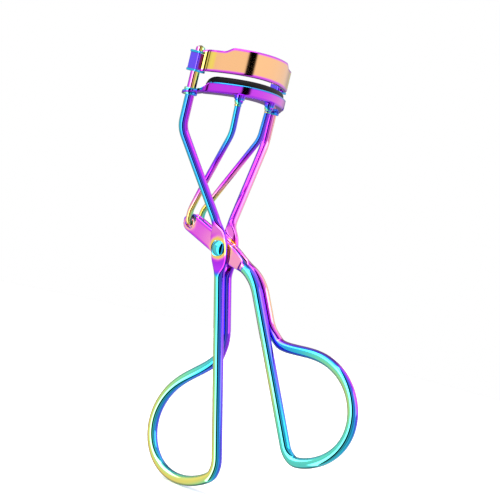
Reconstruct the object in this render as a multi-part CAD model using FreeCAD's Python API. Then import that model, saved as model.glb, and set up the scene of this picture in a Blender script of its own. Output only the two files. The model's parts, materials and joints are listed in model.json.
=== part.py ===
import FreeCAD, Part
import math
import os

# Eyelash curler. Millimetres. The model is drawn about the scissor pivot: +Z runs up the
# guide posts to the jaws, +X is the side the jaws bulge to, Y runs across the jaws.
# On export everything moves so that the origin is the centre of the whole tool's box.

V = FreeCAD.Vector

# --- wires ---
HANDLE_WIRE_D = 2.5      # finger loops and legs
GUIDE_WIRE_D = 2.2       # guide posts and the two arms below them
PUSH_WIRE_D = 1.5        # U-shaped wire that pushes the lower jaw

# --- guide posts and arms ---
POST_SPACING = 32.0      # between the posts' axes
POST_SETBACK = 7.9       # posts stand this far behind the pivot
POST_BEND_Z = 26.0       # where posts turn into the converging arms
POST_BEND_R = 6.0
POST_TOP_Z = 45.4
ARM_END = (-1.75, 5.4)   # X and Z where an arm runs into its pivot eye
ARM_END_SPREAD = 0.55    # its axis there, outside the middle of the eye's thickness

# --- pivot stack, from the middle outwards ---
STRAP_GAP = 0.8          # between the two flattened lever straps
STRAP_T = 1.0
STACK_CLEAR = 0.1        # between a lever strap and the frame eye beside it
EYE_T = 1.0
EYE_W = 4.6
EYE_REACH = 6.6          # how far the flattened eye runs above and below the rivet
EYE_SHOULDER = 0.42      # share of that reach at which the eye starts to narrow
EYE_SHOULDER_W = 0.92    # eye's width there, as a share of its full width
LEG_START = 0.92         # share of the reach at which the round leg starts
EYE_TIP_W = 0.84         # eye's width where it meets the wire, as a share of the wire's
RIVET_D = 2.0
RIVET_HEAD_D = 3.8
RIVET_HEAD_H = 0.9
RUN_CLEAR = 0.05         # radial clearance of every turning or sliding fit
SPACER_D = 3.4

# --- lever straps ---
STRAP_ANGLE = 19.5       # degrees below +X
STRAP_W = 4.4
STRAP_RIGHT = 8.0        # pivot to where the straps become round wire
STRAP_LEFT = 11.7        # pivot to the push wire's hole
STRAP_HOLE_D = 2.6       # loose on the push wire, as on the real tool
STRAP_OVERLAP = 1.0      # strap and round wire run into each other by this much
STRAP_SHOULDER = 0.45    # share of STRAP_RIGHT at which the strap starts to narrow

# --- handles ---
LEG_PITCH = 2.7          # between the axes of a handle's near and far leg
LEFT_LEG_ANGLE = 16.1    # degrees from straight down, towards +X
RIGHT_LEG_ANGLE = 29.7
LEFT_LEG_OFFSET = 0.3    # leg line's distance from the pivot, towards its own loop
RIGHT_LEG_OFFSET = 8.1
LEG_LENGTH = 55.4        # pivot to the bottom of a finger loop
LOOP_LENGTH = 27.5       # finger loop, top to bottom
LEFT_LOOP_W = 21.4
RIGHT_LOOP_W = 19.4
LEG_BEND_R = 11.0        # right handle, strap to leg
# a finger loop's corners, from its bottom round to its top: distance below the loop's top as a
# share of LOOP_LENGTH, distance from the leg and bend radius as shares of the loop's width,
# and how far across the handle the wire has come, -1 at the near leg and 1 at the far one
LOOP_CORNERS = (
    (0.9709, 1.00, 0.52, -0.4),
    (0.400, 1.00, 0.48, 0.2),
    (0.115, 0.68, 0.62, 0.5),
)
LOOP_FOOT_R = 5.5        # where the near leg turns into its loop
LOOP_MOUTH = (-0.6, 0.13, 3.6)   # last corner: below the top, share of the width, bend radius
FAR_LEG_RISE = 6.0       # the far leg is straight from this far above the loop
FAR_LEG_R = 9.0

# --- jaws ---
JAW_R = 31.0             # outer face of the lower jaw, in plan
JAW_FRONT_X = 0.0        # furthest reach of that face
JAW_SLOPE = 16.5         # degrees: jaw edges rise towards the front
ARC_HALF_WIDTH = 14.8    # jaws are a plain arc out to here
JAW_GAP = 0.85           # pad to upper jaw, tool as drawn
SHEET_T = 0.8
LOWER_BASE_Z = 34.1      # underside of the lower jaw, at the posts
LOWER_WALL_H = 2.45
CHANNEL_WALL_T = 0.6
PAD_W = 1.9
PAD_FIT = 0.03           # pad to channel wall
PAD_PROUD = 1.6          # rubber above the channel
UPPER_H = 5.1            # upper jaw's height at its ends
UPPER_STEP_H = 1.0       # extra height of its middle
STEP_HALF_WIDTH = 10.0
STEP_RAMP = 2.5
UPPER_INSET = 0.6        # upper jaw's face behind the lower jaw's
PAD_END_SHORT = 0.6      # the pad stops this far short of each end of the channel
WEB_LAP = 0.4            # the web to a post ear starts this far inside the arc's end
WEB_INSET = 0.05         # and this far inside the channel's faces
WEB_TANGENT = (0.3, 0.9) # where it runs into the ear, as shares of the ear's radius
BAND_LAP = 0.5           # the upper jaw's straight ends start this far inside its arc
BAND_LAP_SLANT = 0.2     # and their back corners this much further in
BAND_INSET = 0.02        # and this far inside the arc's faces

# --- clips, eyelets and swivel beads ---
CLIP_X = 3.2
CLIP_Y = 3.6
CLIP_H = 4.9
BAND_END_GAP = 0.2       # upper jaw's end to the post, inside the clip
EYELET_D = 3.3
EYELET_H = 1.7
BEAD_D = 2.1
CUP_WALL = 0.3
EAR_RIM = 0.35
CLIP_EDGE_R = 0.5
CLIP_LIFT = 0.15         # clip's foot above the upper jaw's lower edge, at the post
BEAD_SPACING = 11.7
BEAD_SETBACK = 0.45      # bead's distance behind the jaw's face, as a share of the channel
BEAD_DROP = 0.15         # bead's top below the channel's floor
CUP_ROOT = 1.0           # the cup's root runs this far into the channel

# --- push wire ---
PUSH_SIDE_CLEAR = 0.15   # to the lever strap beside it
KNEE_SHARE = 0.88        # upper bend: share of the way out from strap to bead
KNEE_RISE = 1.2          # and its height above the posts' bend
ELBOW_SHARE = 0.35       # lower bend, the same way
ELBOW_SETBACK = 0.68     # its setback, as a share of the hole's
ELBOW_RISE = 10.8        # and its height above the hole
FOOT_RISE = 3.2          # the sides are upright for this height at the hole
PUSH_BEND_R = (7.0, 9.0, 4.0, 1.0)
PUSH_LEAN = 0.1          # the top runs lean back and the foot runs forward by this much

# worked out from the sizes above
strap_y = (STRAP_GAP + STRAP_T) / 2
eye_y = STRAP_GAP / 2 + STRAP_T + STACK_CLEAR + EYE_T / 2
stack_half = eye_y + EYE_T / 2
leg_y = LEG_PITCH / 2
post_y = POST_SPACING / 2
push_y = STRAP_GAP / 2 + STRAP_T + PUSH_WIRE_D / 2 + PUSH_SIDE_CLEAR
slope = math.tan(math.radians(JAW_SLOPE))
arc_centre_x = JAW_FRONT_X - JAW_R
strap_dir = V(math.cos(math.radians(STRAP_ANGLE)), 0, -math.sin(math.radians(STRAP_ANGLE)))
push_hole = strap_dir * -STRAP_LEFT
lower_rim_z = LOWER_BASE_Z + LOWER_WALL_H
pad_top_z = lower_rim_z + PAD_PROUD
upper_base_z = pad_top_z + JAW_GAP
upper_top_z = upper_base_z + UPPER_H
channel_w = 2 * (CHANNEL_WALL_T + PAD_FIT) + PAD_W


def height_at(x, z_at_post):
    """Height of a jaw plane at a given X."""
    return z_at_post + (x + POST_SETBACK) * slope


bead_x = JAW_FRONT_X - BEAD_SETBACK * channel_w
cup_top_z = height_at(bead_x, LOWER_BASE_Z + SHEET_T / 2) + CUP_ROOT
bead_z = height_at(bead_x, LOWER_BASE_Z) - BEAD_D / 2 - BEAD_DROP


def bead_centre(side):
    return V(bead_x, side * BEAD_SPACING / 2, bead_z)


# ------------------------------------------------------------------ wire work
def rounded_path(points, radii):
    """Straight runs through the points, joined by tangent arcs of the given radii."""
    edges = []
    start = points[0]
    for corner, following, radius in zip(points[1:-1], points[2:], radii):
        back = (start - corner).normalize()
        ahead = (following - corner).normalize()
        half_turn = (math.pi - back.getAngle(ahead)) / 2
        trim = radius * math.tan(half_turn)
        bisector = (back + ahead).normalize()
        middle = corner + bisector * (radius / math.cos(half_turn) - radius)
        arc_from = corner + back * trim
        arc_to = corner + ahead * trim
        edges.append(Part.LineSegment(start, arc_from).toShape())
        edges.append(Part.Arc(arc_from, middle, arc_to).toShape())
        start = arc_to
    edges.append(Part.LineSegment(start, points[-1]).toShape())
    return Part.Wire(edges)


def bent_wire(points, radii, diameter):
    path = rounded_path(points, radii)
    direction = (points[1] - points[0]).normalize()
    section = Part.Wire(Part.makeCircle(diameter / 2, points[0], direction))
    return path.makePipeShell([section], True, False)


def mirrored(points):
    return [V(p.x, -p.y, p.z) for p in points]


def cylinder_y(radius, y_from, y_to, centre=V(0, 0, 0)):
    """A cylinder along Y, between two Y values."""
    return Part.makeCylinder(radius, y_to - y_from, V(centre.x, y_from, centre.z), V(0, 1, 0))


def plate_y(outline, y_middle, thickness):
    """A flat plate in the X-Z plane from a closed outline of (X, Z) pairs."""
    y_low = y_middle - thickness / 2
    corners = [V(x, y_low, z) for x, z in outline]
    return Part.Face(Part.makePolygon(corners + corners[:1])).extrude(V(0, thickness, 0))


# -------------------------------------------------------------------- handles
def handle_path(angle, offset, side, loop_w):
    """Corners and radii of one leg and finger loop, from the near leg's top to the far leg's.

    side is -1 for the loop on the -X side and +1 for the one on the +X side.
    """
    lean = math.radians(angle)
    down = V(math.sin(lean), 0, -math.cos(lean))
    out = V(side * math.cos(lean), 0, side * math.sin(lean))
    loop_top = LEG_LENGTH - LOOP_LENGTH

    def at(below_pivot, from_leg, y):
        return down * below_pivot + out * (offset + from_leg) + V(0, y, 0)

    corners = [at(LEG_LENGTH, 0.0, -leg_y)]
    radii = [LOOP_FOOT_R]
    for below, from_leg, radius, crossed in LOOP_CORNERS:
        corners.append(at(loop_top + below * LOOP_LENGTH, from_leg * loop_w, crossed * leg_y))
        radii.append(radius * loop_w)
    below, from_leg, radius = LOOP_MOUTH
    corners.append(at(loop_top + below, from_leg * loop_w, leg_y))
    corners.append(at(loop_top - FAR_LEG_RISE, 0.0, leg_y))
    return at, corners, radii + [radius, FAR_LEG_R]


def eye_plate(leg_top):
    """Flattened pivot eye on the near side, running from the arm's end down to the leg."""
    up = V(ARM_END[0], 0, ARM_END[1]).normalize()
    down = V(leg_top.x, 0, leg_top.z).normalize()
    outline = []
    for direction, width in ((up, GUIDE_WIRE_D), (down, HANDLE_WIRE_D)):
        across = V(-direction.z, 0, direction.x)
        tip = direction * EYE_REACH
        shoulder = direction * (EYE_SHOULDER * EYE_REACH)
        shoulder_out = across * (EYE_SHOULDER_W * EYE_W / 2)
        tip_out = across * (EYE_TIP_W * width / 2)
        outline += [shoulder - shoulder_out, tip - tip_out, tip + tip_out, shoulder + shoulder_out]
    plate = plate_y([(p.x, p.z) for p in outline], -eye_y, EYE_T)
    disc = cylinder_y(EYE_W / 2, -stack_half, -stack_half + EYE_T)
    return plate.fuse(disc)


def make_guide_frame():
    """One wire: post, arm, pivot eye, leg and finger loop, then back up the other side."""
    at, corners, radii = handle_path(LEFT_LEG_ANGLE, LEFT_LEG_OFFSET, -1, LEFT_LOOP_W)
    leg_start = LEG_START * EYE_REACH
    near_top = at(leg_start, 0, -leg_y)
    far_top = at(leg_start, 0, leg_y)
    handle = bent_wire([near_top] + corners + [far_top], radii, HANDLE_WIRE_D)

    arm_end = V(ARM_END[0], -(eye_y + ARM_END_SPREAD), ARM_END[1])
    arm = [V(-POST_SETBACK, -post_y, POST_TOP_Z), V(-POST_SETBACK, -post_y, POST_BEND_Z), arm_end]
    eye = eye_plate(near_top)
    halves = []
    for points, plate in ((arm, eye), (mirrored(arm), eye.mirror(V(0, 0, 0), V(0, 1, 0)))):
        halves += [bent_wire(points, [POST_BEND_R], GUIDE_WIRE_D), plate]
    frame = handle.fuse(halves)
    return frame.cut(cylinder_y(RIVET_D / 2, -stack_half - 1, stack_half + 1)).removeSplitter()


def make_squeeze_lever():
    """One wire: strap, leg and finger loop, then back up to the other strap."""
    at, corners, radii = handle_path(RIGHT_LEG_ANGLE, RIGHT_LEG_OFFSET, 1, RIGHT_LOOP_W)
    # the knee is where the straps' line meets the legs' line
    knee = strap_dir * (RIGHT_LEG_OFFSET / math.cos(math.radians(RIGHT_LEG_ANGLE + STRAP_ANGLE)))
    strap_end = strap_dir * (STRAP_RIGHT - STRAP_OVERLAP)
    far = V(0, leg_y, 0)
    points = [strap_end - far, knee - far] + corners + [knee + far, strap_end + far]
    handle = bent_wire(points, [LEG_BEND_R] + radii + [LEG_BEND_R], HANDLE_WIRE_D)

    across = V(-strap_dir.z, 0, strap_dir.x)
    half = STRAP_W / 2
    narrow = HANDLE_WIRE_D / 2
    shoulder = strap_dir * (STRAP_SHOULDER * STRAP_RIGHT)
    tip = strap_dir * (STRAP_RIGHT + STRAP_OVERLAP)
    outline = [push_hole - across * half, shoulder - across * half, tip - across * narrow,
               tip + across * narrow, shoulder + across * half, push_hole + across * half]
    strap = plate_y([(p.x, p.z) for p in outline], -strap_y, STRAP_T)
    y_out = -strap_y - STRAP_T / 2
    strap = strap.fuse(cylinder_y(half, y_out, y_out + STRAP_T, push_hole))
    lever = handle.fuse([strap, strap.mirror(V(0, 0, 0), V(0, 1, 0))])
    lever = lever.cut(cylinder_y(RIVET_D / 2 + RUN_CLEAR, -stack_half, stack_half))
    return lever.cut(cylinder_y(STRAP_HOLE_D / 2, -stack_half, stack_half, push_hole)).removeSplitter()


def make_pivot_rivet():
    rivet = cylinder_y(RIVET_D / 2, -stack_half, stack_half)
    head_r = RIVET_HEAD_D / 2
    dome_r = (head_r ** 2 + RIVET_HEAD_H ** 2) / (2 * RIVET_HEAD_H)
    for side in (-1, 1):
        dome = Part.makeSphere(dome_r, V(0, side * (stack_half + RIVET_HEAD_H - dome_r), 0))
        low = min(side * stack_half, side * (stack_half + RIVET_HEAD_H))
        rivet = rivet.fuse(dome.common(cylinder_y(head_r, low, low + RIVET_HEAD_H)))
    return rivet.removeSplitter()


def make_pivot_spacer():
    half = STRAP_GAP / 2
    ring = cylinder_y(SPACER_D / 2, -half, half)
    return ring.cut(cylinder_y(RIVET_D / 2 + RUN_CLEAR, -half, half))


def make_push_wire():
    """One U of wire: its crossbar turns in the lever's holes, its tips sit in the beads."""
    flare = BEAD_SPACING / 2 - push_y
    half = [
        bead_centre(-1),
        V(bead_x - PUSH_LEAN, -push_y - KNEE_SHARE * flare, POST_BEND_Z + KNEE_RISE),
        V(ELBOW_SETBACK * push_hole.x, -push_y - ELBOW_SHARE * flare, push_hole.z + ELBOW_RISE),
        V(push_hole.x + PUSH_LEAN, -push_y, push_hole.z + FOOT_RISE),
        V(push_hole.x, -push_y, push_hole.z),
    ]
    radii = list(PUSH_BEND_R)
    points = half + list(reversed(mirrored(half)))
    return bent_wire(points, radii + list(reversed(radii)), PUSH_WIRE_D)


# ----------------------------------------------------------------------- jaws
def sloped_slab(z_low, z_high):
    """Everything between two jaw planes; the heights hold at the posts."""
    reach = 60.0
    x_back, x_front = -POST_SETBACK - reach, -POST_SETBACK + reach
    rise = reach * slope
    corners = [V(x_back, -reach, z_low - rise), V(x_front, -reach, z_low + rise),
               V(x_front, -reach, z_high + rise), V(x_back, -reach, z_high - rise)]
    return Part.Face(Part.makePolygon(corners + corners[:1])).extrude(V(0, 2 * reach, 0))


def arc_band(inset, width, overrun=0.0):
    """A tall wall that follows the jaws' arc, its outer face set in by inset."""
    half_angle = math.degrees(math.asin((ARC_HALF_WIDTH + overrun) / JAW_R))
    base = V(arc_centre_x, 0, 0)
    outer = Part.makeCylinder(JAW_R - inset, 100, base, V(0, 0, 1), 2 * half_angle)
    inner = Part.makeCylinder(JAW_R - inset - width, 100, base, V(0, 0, 1), 360)
    wall = outer.cut(inner)
    wall.rotate(base, V(0, 0, 1), -half_angle)
    return wall


def arc_x(y, inset):
    """X of the arc at a given Y."""
    return arc_centre_x + math.sqrt((JAW_R - inset) ** 2 - y ** 2)


def make_lower_jaw():
    floor_slab = sloped_slab(LOWER_BASE_Z, LOWER_BASE_Z + SHEET_T)
    wall_slab = sloped_slab(LOWER_BASE_Z, lower_rim_z)
    front = arc_band(0.0, CHANNEL_WALL_T).common(wall_slab)
    back = arc_band(channel_w - CHANNEL_WALL_T, CHANNEL_WALL_T).common(wall_slab)
    pieces = [back, arc_band(0.0, channel_w).common(floor_slab)]
    ear_r = EYELET_D / 2 + EAR_RIM
    y_root = ARC_HALF_WIDTH - WEB_LAP
    near, far = (share * ear_r for share in WEB_TANGENT)
    for side in (-1, 1):
        post_foot = V(-POST_SETBACK, side * post_y, 0)
        ear = Part.makeCylinder(ear_r, 100, post_foot)
        web = [V(arc_x(y_root, 0) - WEB_INSET, side * y_root, 0),
               V(arc_x(y_root, channel_w) + WEB_INSET, side * y_root, 0),
               post_foot + V(-near, -side * far, 0),
               post_foot + V(far, side * near, 0)]
        web = Part.Face(Part.makePolygon(web + web[:1])).extrude(V(0, 0, 100))
        pieces.append(ear.fuse(web).common(floor_slab))
        cup = Part.makeCylinder(BEAD_D / 2 + CUP_WALL, cup_top_z - bead_z, bead_centre(side))
        pieces.append(cup.cut(sloped_slab(LOWER_BASE_Z + SHEET_T / 2, lower_rim_z + 50)))
    jaw = front.fuse(pieces)
    for side in (-1, 1):
        jaw = jaw.cut(Part.makeCylinder(EYELET_D / 2, 100, V(-POST_SETBACK, side * post_y, 0)))
        jaw = jaw.cut(Part.makeSphere(BEAD_D / 2 + RUN_CLEAR, bead_centre(side)))
    return jaw.removeSplitter()


def make_lash_pad():
    strip = arc_band(CHANNEL_WALL_T + PAD_FIT, PAD_W, -PAD_END_SHORT)
    return strip.common(sloped_slab(LOWER_BASE_Z + SHEET_T, pad_top_z))


def make_upper_jaw():
    y_root = ARC_HALF_WIDTH - BAND_LAP
    y_end = post_y
    x_end = -POST_SETBACK + GUIDE_WIRE_D / 2 + BAND_END_GAP
    strip = arc_band(UPPER_INSET, SHEET_T)
    for side in (-1, 1):
        end = [V(arc_x(y_root, UPPER_INSET) - BAND_INSET, side * y_root, 0),
               V(arc_x(y_root, UPPER_INSET + SHEET_T) + BAND_INSET,
                 side * (y_root - BAND_LAP_SLANT), 0),
               V(x_end, side * (y_end - SHEET_T / 2), 0), V(x_end, side * (y_end + SHEET_T / 2), 0)]
        strip = strip.fuse(Part.Face(Part.makePolygon(end + end[:1])).extrude(V(0, 0, 100)))
    band = strip.common(sloped_slab(upper_base_z, upper_top_z + UPPER_STEP_H))
    # the top edge steps down towards the posts
    reach = POST_SPACING
    ceiling = 4 * UPPER_H
    for side in (-1, 1):
        z_low = height_at(-reach, upper_top_z)
        outline = [(STEP_HALF_WIDTH, UPPER_STEP_H), (STEP_HALF_WIDTH + STEP_RAMP, 0.0),
                   (2 * post_y, 0.0), (2 * post_y, ceiling), (STEP_HALF_WIDTH, ceiling)]
        corners = [V(-reach, side * y, z_low + z) for y, z in outline]
        step = Part.Face(Part.makePolygon(corners + corners[:1]))
        band = band.cut(step.extrude(V(2 * reach, 0, 2 * reach * slope)))
    return band.removeSplitter()


def make_post_clip(side, band):
    corner = V(-POST_SETBACK - CLIP_X / 2, side * post_y - CLIP_Y / 2, upper_base_z + CLIP_LIFT)
    block = Part.makeBox(CLIP_X, CLIP_Y, CLIP_H, corner)
    uprights = [e for e in block.Edges if abs(e.Vertexes[0].Z - e.Vertexes[1].Z) > CLIP_H / 2]
    block = block.makeFillet(CLIP_EDGE_R, uprights)
    post_hole = Part.makeCylinder(GUIDE_WIRE_D / 2, 200, V(-POST_SETBACK, side * post_y, 0))
    return block.cut(post_hole).cut(band)


def make_guide_eyelet(side):
    centre = V(-POST_SETBACK, side * post_y, LOWER_BASE_Z + SHEET_T / 2 - EYELET_H / 2)
    ring = Part.makeCylinder(EYELET_D / 2, EYELET_H, centre)
    return ring.cut(Part.makeCylinder(GUIDE_WIRE_D / 2 + RUN_CLEAR, EYELET_H, centre))


def make_swivel_bead(side, wire):
    return Part.makeSphere(BEAD_D / 2, bead_centre(side)).cut(wire)


# ------------------------------------------------------------------- assembly
def build_all():
    push_wire = make_push_wire()
    upper_jaw = make_upper_jaw()
    nodes = {
        "guide_frame": make_guide_frame(),
        "squeeze_lever": make_squeeze_lever(),
        "pivot_rivet": make_pivot_rivet(),
        "pivot_spacer": make_pivot_spacer(),
        "push_wire": push_wire,
        "lower_jaw": make_lower_jaw(),
        "lash_pad": make_lash_pad(),
        "upper_jaw": upper_jaw,
    }
    for side, word in ((-1, "left"), (1, "right")):
        nodes["post_clip_" + word] = make_post_clip(side, upper_jaw)
        nodes["guide_eyelet_" + word] = make_guide_eyelet(side)
        nodes["swivel_bead_" + word] = make_swivel_bead(side, push_wire)
    return nodes


os.makedirs("parts", exist_ok=True)
all_nodes = build_all()
whole = FreeCAD.BoundBox()
for shape in all_nodes.values():
    whole.add(shape.optimalBoundingBox(False))
for name, shape in all_nodes.items():
    shape.translate(whole.Center * -1)
    shape.exportStep("parts/" + name + ".step")
    print(name, "valid" if shape.isValid() else "INVALID", len(shape.Solids), "solid(s)",
          round(shape.Volume, 2), "mm3")
print("pivot at", [round(v, 4) for v in whole.Center * -1])
print("size", round(whole.XLength, 2), round(whole.YLength, 2), round(whole.ZLength, 2))
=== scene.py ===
import json
import math

import bmesh
import bpy
from mathutils import Matrix, Vector


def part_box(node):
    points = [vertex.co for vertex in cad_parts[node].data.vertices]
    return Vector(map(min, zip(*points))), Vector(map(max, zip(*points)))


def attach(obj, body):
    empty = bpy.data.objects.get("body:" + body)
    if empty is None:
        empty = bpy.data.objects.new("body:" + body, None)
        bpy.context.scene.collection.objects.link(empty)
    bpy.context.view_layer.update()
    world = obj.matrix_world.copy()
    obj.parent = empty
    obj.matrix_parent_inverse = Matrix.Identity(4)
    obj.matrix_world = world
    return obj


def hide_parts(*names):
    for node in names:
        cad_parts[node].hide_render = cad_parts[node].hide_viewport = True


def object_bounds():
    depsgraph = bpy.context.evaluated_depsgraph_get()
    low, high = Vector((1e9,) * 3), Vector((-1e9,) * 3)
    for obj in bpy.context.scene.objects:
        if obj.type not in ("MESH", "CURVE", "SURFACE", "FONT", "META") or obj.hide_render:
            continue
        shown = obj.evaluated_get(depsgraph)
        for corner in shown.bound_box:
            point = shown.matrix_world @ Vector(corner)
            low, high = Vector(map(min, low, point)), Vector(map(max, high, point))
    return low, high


# Eyelash curler in rainbow-plated steel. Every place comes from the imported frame; sizes that
# the frame doesn't hold are named below, in metres.

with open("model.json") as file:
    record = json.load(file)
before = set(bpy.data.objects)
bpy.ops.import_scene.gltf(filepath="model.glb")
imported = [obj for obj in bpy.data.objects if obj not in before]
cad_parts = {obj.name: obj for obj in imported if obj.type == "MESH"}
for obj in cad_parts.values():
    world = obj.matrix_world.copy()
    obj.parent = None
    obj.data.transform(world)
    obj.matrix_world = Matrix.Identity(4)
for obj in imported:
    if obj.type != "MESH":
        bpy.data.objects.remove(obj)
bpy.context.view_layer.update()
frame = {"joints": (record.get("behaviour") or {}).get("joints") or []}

MM = 0.001

# ------------------------------------------------------------------- places read from the frame
JOINTS = {joint["name"]: joint for joint in frame["joints"]}
PIVOT = Vector(JOINTS["handle_pivot"]["pos_m"])
SWIVEL = Vector(JOINTS["push_wire_swivel"]["pos_m"])


def middle(node):
    """Centre of a CAD node's box."""
    low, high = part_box(node)
    return (low + high) / 2


POST_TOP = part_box("guide_frame")[1].z
EYELET = middle("guide_eyelet_right")
POST_X = EYELET.x
POST_Y = EYELET.y


def new_object(name, data):
    """A linked object that holds the data."""
    made = bpy.data.objects.new(name, data)
    bpy.context.scene.collection.objects.link(made)
    return made


# --------------------------------------------------------------------------- camera and studio
VIEW_AZIMUTH = 37.5      # degrees: the camera stands in front of the jaws, round to the left
VIEW_HEIGHT = 4.3
VIEW_ROLL = 13.5         # the tool leans to the right in the view
VIEW_DISTANCE = 420 * MM
VIEW_WIDTH = 119.05 * MM  # width of the view at the pivot
AIM_RIGHT = 6.12 * MM    # the view's centre, right of the pivot and below it
AIM_UP = -0.24 * MM
SENSOR = 36.0


def make_camera():
    azimuth, height, roll = (math.radians(v) for v in (VIEW_AZIMUTH, VIEW_HEIGHT, VIEW_ROLL))
    back = Vector((math.sin(azimuth) * math.cos(height), -math.cos(azimuth) * math.cos(height),
                   math.sin(height)))
    level_right = Vector((math.cos(azimuth), math.sin(azimuth), 0))
    level_up = back.cross(level_right)
    right = level_right * math.cos(roll) + level_up * math.sin(roll)
    up = level_up * math.cos(roll) - level_right * math.sin(roll)
    target = PIVOT + right * AIM_RIGHT + up * AIM_UP
    turn = Matrix((right, up, back)).transposed().to_4x4()
    data = bpy.data.cameras.new("camera")
    data.sensor_width = SENSOR
    data.lens = SENSOR * VIEW_DISTANCE / VIEW_WIDTH
    data.clip_start = 0.01
    camera = new_object("camera", data)
    camera.matrix_world = Matrix.Translation(target + back * VIEW_DISTANCE) @ turn
    bpy.context.scene.camera = camera


# ---------------------------------------------------------------------------------- materials
def linear(hex_colour):
    """sRGB hex to a linear RGBA colour."""
    channels = [int(hex_colour[i:i + 2], 16) / 255 for i in (1, 3, 5)]
    return [c / 12.92 if c <= 0.04045 else ((c + 0.055) / 1.055) ** 2.4 for c in channels] + [1.0]


def add(tree, kind, links=None, **settings):
    """Adds a node; settings name its properties, links its inputs: a socket, or a value."""
    node = tree.nodes.new(kind)
    for key, value in settings.items():
        setattr(node, key, value)
    for key, value in (links or {}).items():
        if isinstance(value, bpy.types.NodeSocket):
            tree.links.new(value, node.inputs[key])
        else:
            node.inputs[key].default_value = value
    return node


# Thin-film plating, from the thinnest oxide to the thickest: the order that the colours of
# rainbow-anodised or ion-plated steel come in. It closes on itself, so a phase may run past 1.
PLATING_COLOURS = (
    (0.00, "#eedc68"), (0.07, "#a8de88"), (0.15, "#66dcb4"), (0.25, "#14b6da"), (0.34, "#1a84e6"),
    (0.43, "#4a54ee"), (0.52, "#7c2cf0"), (0.61, "#ac0eee"), (0.71, "#dc40e0"), (0.80, "#f48cce"),
    (0.89, "#fabc8a"), (0.96, "#f2cf58"))
FILM_AND_SHEEN_AXIS = Vector((0.76, 0.61, 0.23))   # colour swept along this axis is partly painted sheen, the shift that view angle gives, partly the film, thinner on the side first in the vapour,
PLATING_GRADIENT = 1 / (330 * MM)           # and it thickens towards the jaws
SMUDGE_SIZE = 9 * MM                        # finger marks on polished plating
STREAK_SIZE = 0.35 * MM                     # polishing lines, drawn coarser than the real 0.05 mm


def plated_steel(name, swing, roughness, drift=0.10):
    """Ion-plated polished steel: a mirror with interference colours. The film attribute gives
    each place its colour; swing turns it from side to side where hold is below 1: partly the film,
    partly painted sheen, the colour shift that view angle gives."""
    material = bpy.data.materials.new(name)
    material.use_nodes = True
    tree = material.node_tree
    shader = tree.nodes["Principled BSDF"]
    place = add(tree, "ShaderNodeTexCoord")
    # how far a surface faces along the axis turns its colour: partly film, partly painted sheen from view
    # angle
    turned = add(tree, "ShaderNodeVectorMath", {0: place.outputs["Normal"], 1: FILM_AND_SHEEN_AXIS},
                 operation="DOT_PRODUCT")
    height = add(tree, "ShaderNodeSeparateXYZ", {0: place.outputs["Object"]})
    cloud = add(tree, "ShaderNodeTexNoise", {"Vector": place.outputs["Object"],
                                             "Scale": 1 / (26 * MM), "Detail": 1.0})
    film = add(tree, "ShaderNodeAttribute", attribute_name="film")
    hold = add(tree, "ShaderNodeAttribute", attribute_name="hold")
    rise = add(tree, "ShaderNodeMath", {0: height.outputs["Z"], 1: PLATING_GRADIENT}, operation="MULTIPLY")
    by_side = add(tree, "ShaderNodeMath", {0: turned.outputs["Value"], 1: swing, 2: rise.outputs[0]},
                  operation="MULTIPLY_ADD")
    free = add(tree, "ShaderNodeMath", {0: 1.0, 1: hold.outputs["Fac"]}, operation="SUBTRACT")
    shift = add(tree, "ShaderNodeMath", {0: by_side.outputs[0], 1: free.outputs[0], 2: film.outputs["Fac"]},
                operation="MULTIPLY_ADD")
    by_cloud = add(tree, "ShaderNodeMath", {0: cloud.outputs["Fac"], 1: drift, 2: shift.outputs[0]},
                   operation="MULTIPLY_ADD")
    cycle = add(tree, "ShaderNodeMath", {0: by_cloud.outputs[0]}, operation="FRACT")
    colours = add(tree, "ShaderNodeValToRGB", {"Fac": cycle.outputs[0]})
    ramp = colours.color_ramp
    while len(ramp.elements) > 1:
        ramp.elements.remove(ramp.elements[-1])
    ramp.elements[0].position = PLATING_COLOURS[0][0]
    ramp.elements[0].color = linear(PLATING_COLOURS[0][1])
    for position, colour in PLATING_COLOURS[1:] + ((1.0, PLATING_COLOURS[0][1]),):
        ramp.elements.new(position).color = linear(colour)
    tree.links.new(colours.outputs["Color"], shader.inputs["Base Color"])

    smudge = add(tree, "ShaderNodeTexNoise", {"Vector": place.outputs["Object"],
                                              "Scale": 1 / SMUDGE_SIZE, "Detail": 4.0})
    gloss = add(tree, "ShaderNodeMapRange", {"Value": smudge.outputs["Fac"], "From Min": 0.35,
                                             "From Max": 0.7, "To Min": roughness * 0.7,
                                             "To Max": roughness * 1.5})
    tree.links.new(gloss.outputs["Result"], shader.inputs["Roughness"])
    streak = add(tree, "ShaderNodeTexNoise", {"Vector": place.outputs["Object"],
                                              "Scale": 1 / STREAK_SIZE, "Detail": 2.0})
    bump = add(tree, "ShaderNodeBump", {"Height": streak.outputs["Fac"], "Strength": 0.05,
                                        "Distance": 0.006 * MM})
    tree.links.new(bump.outputs["Normal"], shader.inputs["Normal"])
    shader.inputs["Metallic"].default_value = 1.0
    shader.inputs["Coat Weight"].default_value = 0.55
    shader.inputs["Coat Roughness"].default_value = 0.03
    return material


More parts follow.
